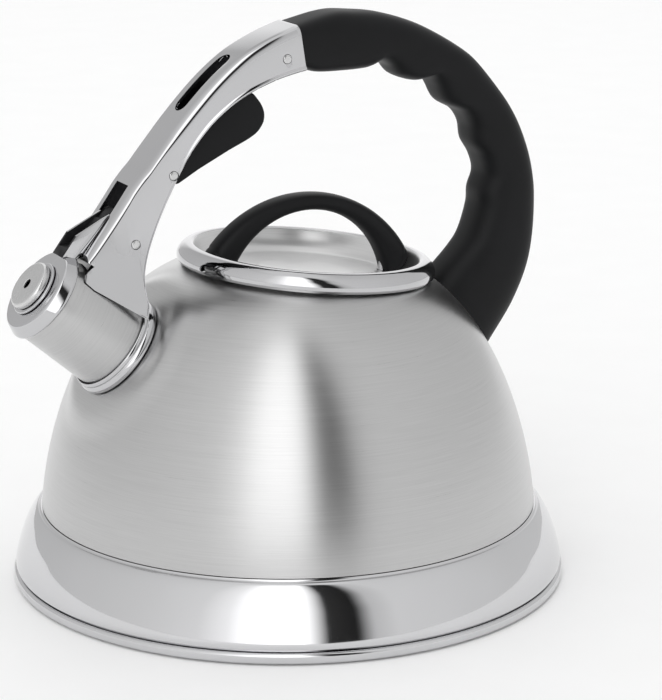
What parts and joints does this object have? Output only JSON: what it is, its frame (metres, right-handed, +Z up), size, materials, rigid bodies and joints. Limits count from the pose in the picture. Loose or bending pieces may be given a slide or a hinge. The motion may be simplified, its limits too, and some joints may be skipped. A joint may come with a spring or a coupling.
{
  "type": "stovetop whistling kettle",
  "caption": "Stovetop kettle with a domed steel body, a lift-off lid, an arched grip over the lid and a squeeze trigger that swings a whistling cover off the spout.",
  "frame": {"origin": "centre of the base's flat underside, on the surface that the kettle stands on", "axes": "+Z up; -X towards the spout and +X towards the grip's foot; Y across, with XZ the plane of symmetry"},
  "size_m": [0.2272, 0.222, 0.2257],
  "materials": {
    "satin_steel": "satin, brushed round the axis",
    "polished_steel": "mirror-polished stainless steel",
    "black_plastic": "matte black phenolic",
    "silicone": "matte dark silicone",
    "aluminium": "plain rolled"
  },
  "bodies": {
    "kettle": {"kettle_dome": "satin_steel", "skirt_pan": "polished_steel", "base_cap": "polished_steel", "heat_disc": "aluminium", "spout_barrel": "satin_steel", "spout_collar": "polished_steel", "front_bracket": "polished_steel", "mounting_tang": "satin_steel", "tang_rivet": "polished_steel", "grip": "black_plastic", "grip_rivet": "polished_steel", "trigger_rivet": "polished_steel", "rear_tang": "satin_steel", "rear_screw": "polished_steel", "cover_hinge_pin": "polished_steel"},
    "lid": {"lid_shell": "satin_steel", "lid_plug": "satin_steel", "lid_handle": "black_plastic", "lid_screw_1": "polished_steel", "lid_screw_2": "polished_steel", "lid_washer_1": "polished_steel", "lid_washer_2": "polished_steel"},
    "trigger": {"trigger": "black_plastic", "rod_pin_trigger": "polished_steel"},
    "rod": {"push_rod": "satin_steel"},
    "cover": {"spout_cover": "polished_steel", "cover_gasket": "silicone", "whistle_base": "polished_steel", "whistle_plate": "polished_steel", "whistle_cup": "polished_steel", "rod_pin_cover": "polished_steel", "cover_spring": "polished_steel"}
  },
  "joints": [
    {"name": "lid_lift", "type": "slide", "parent": "kettle", "child": "lid", "axis": [0.0924, 0, 0.9957], "range_m": [0, 0.03]},
    {"name": "trigger_squeeze", "type": "hinge", "parent": "kettle", "child": "trigger", "pos_m": [-0.0531, 0, 0.1684], "axis": [0, -1, 0], "range_deg": [0, 13], "stiffness_Nm_per_rad": 0.8, "springref_deg": -17.19},
    {"name": "rod_swing", "type": "hinge", "parent": "trigger", "child": "rod", "pos_m": [-0.0588, 0, 0.1725], "axis": [0, -1, 0], "range_deg": [-15.5, 0]},
    {"name": "cover_swing", "type": "hinge", "parent": "kettle", "child": "cover", "pos_m": [-0.0733, 0, 0.1536], "axis": [0, 1, 0], "range_deg": [0, 34]}
  ],
  "couplings": [
    {"joint": "rod_swing", "follows": "trigger_squeeze", "ratio": -1.1},
    {"joint": "cover_swing", "follows": "trigger_squeeze", "ratio": 2.6}
  ]
}
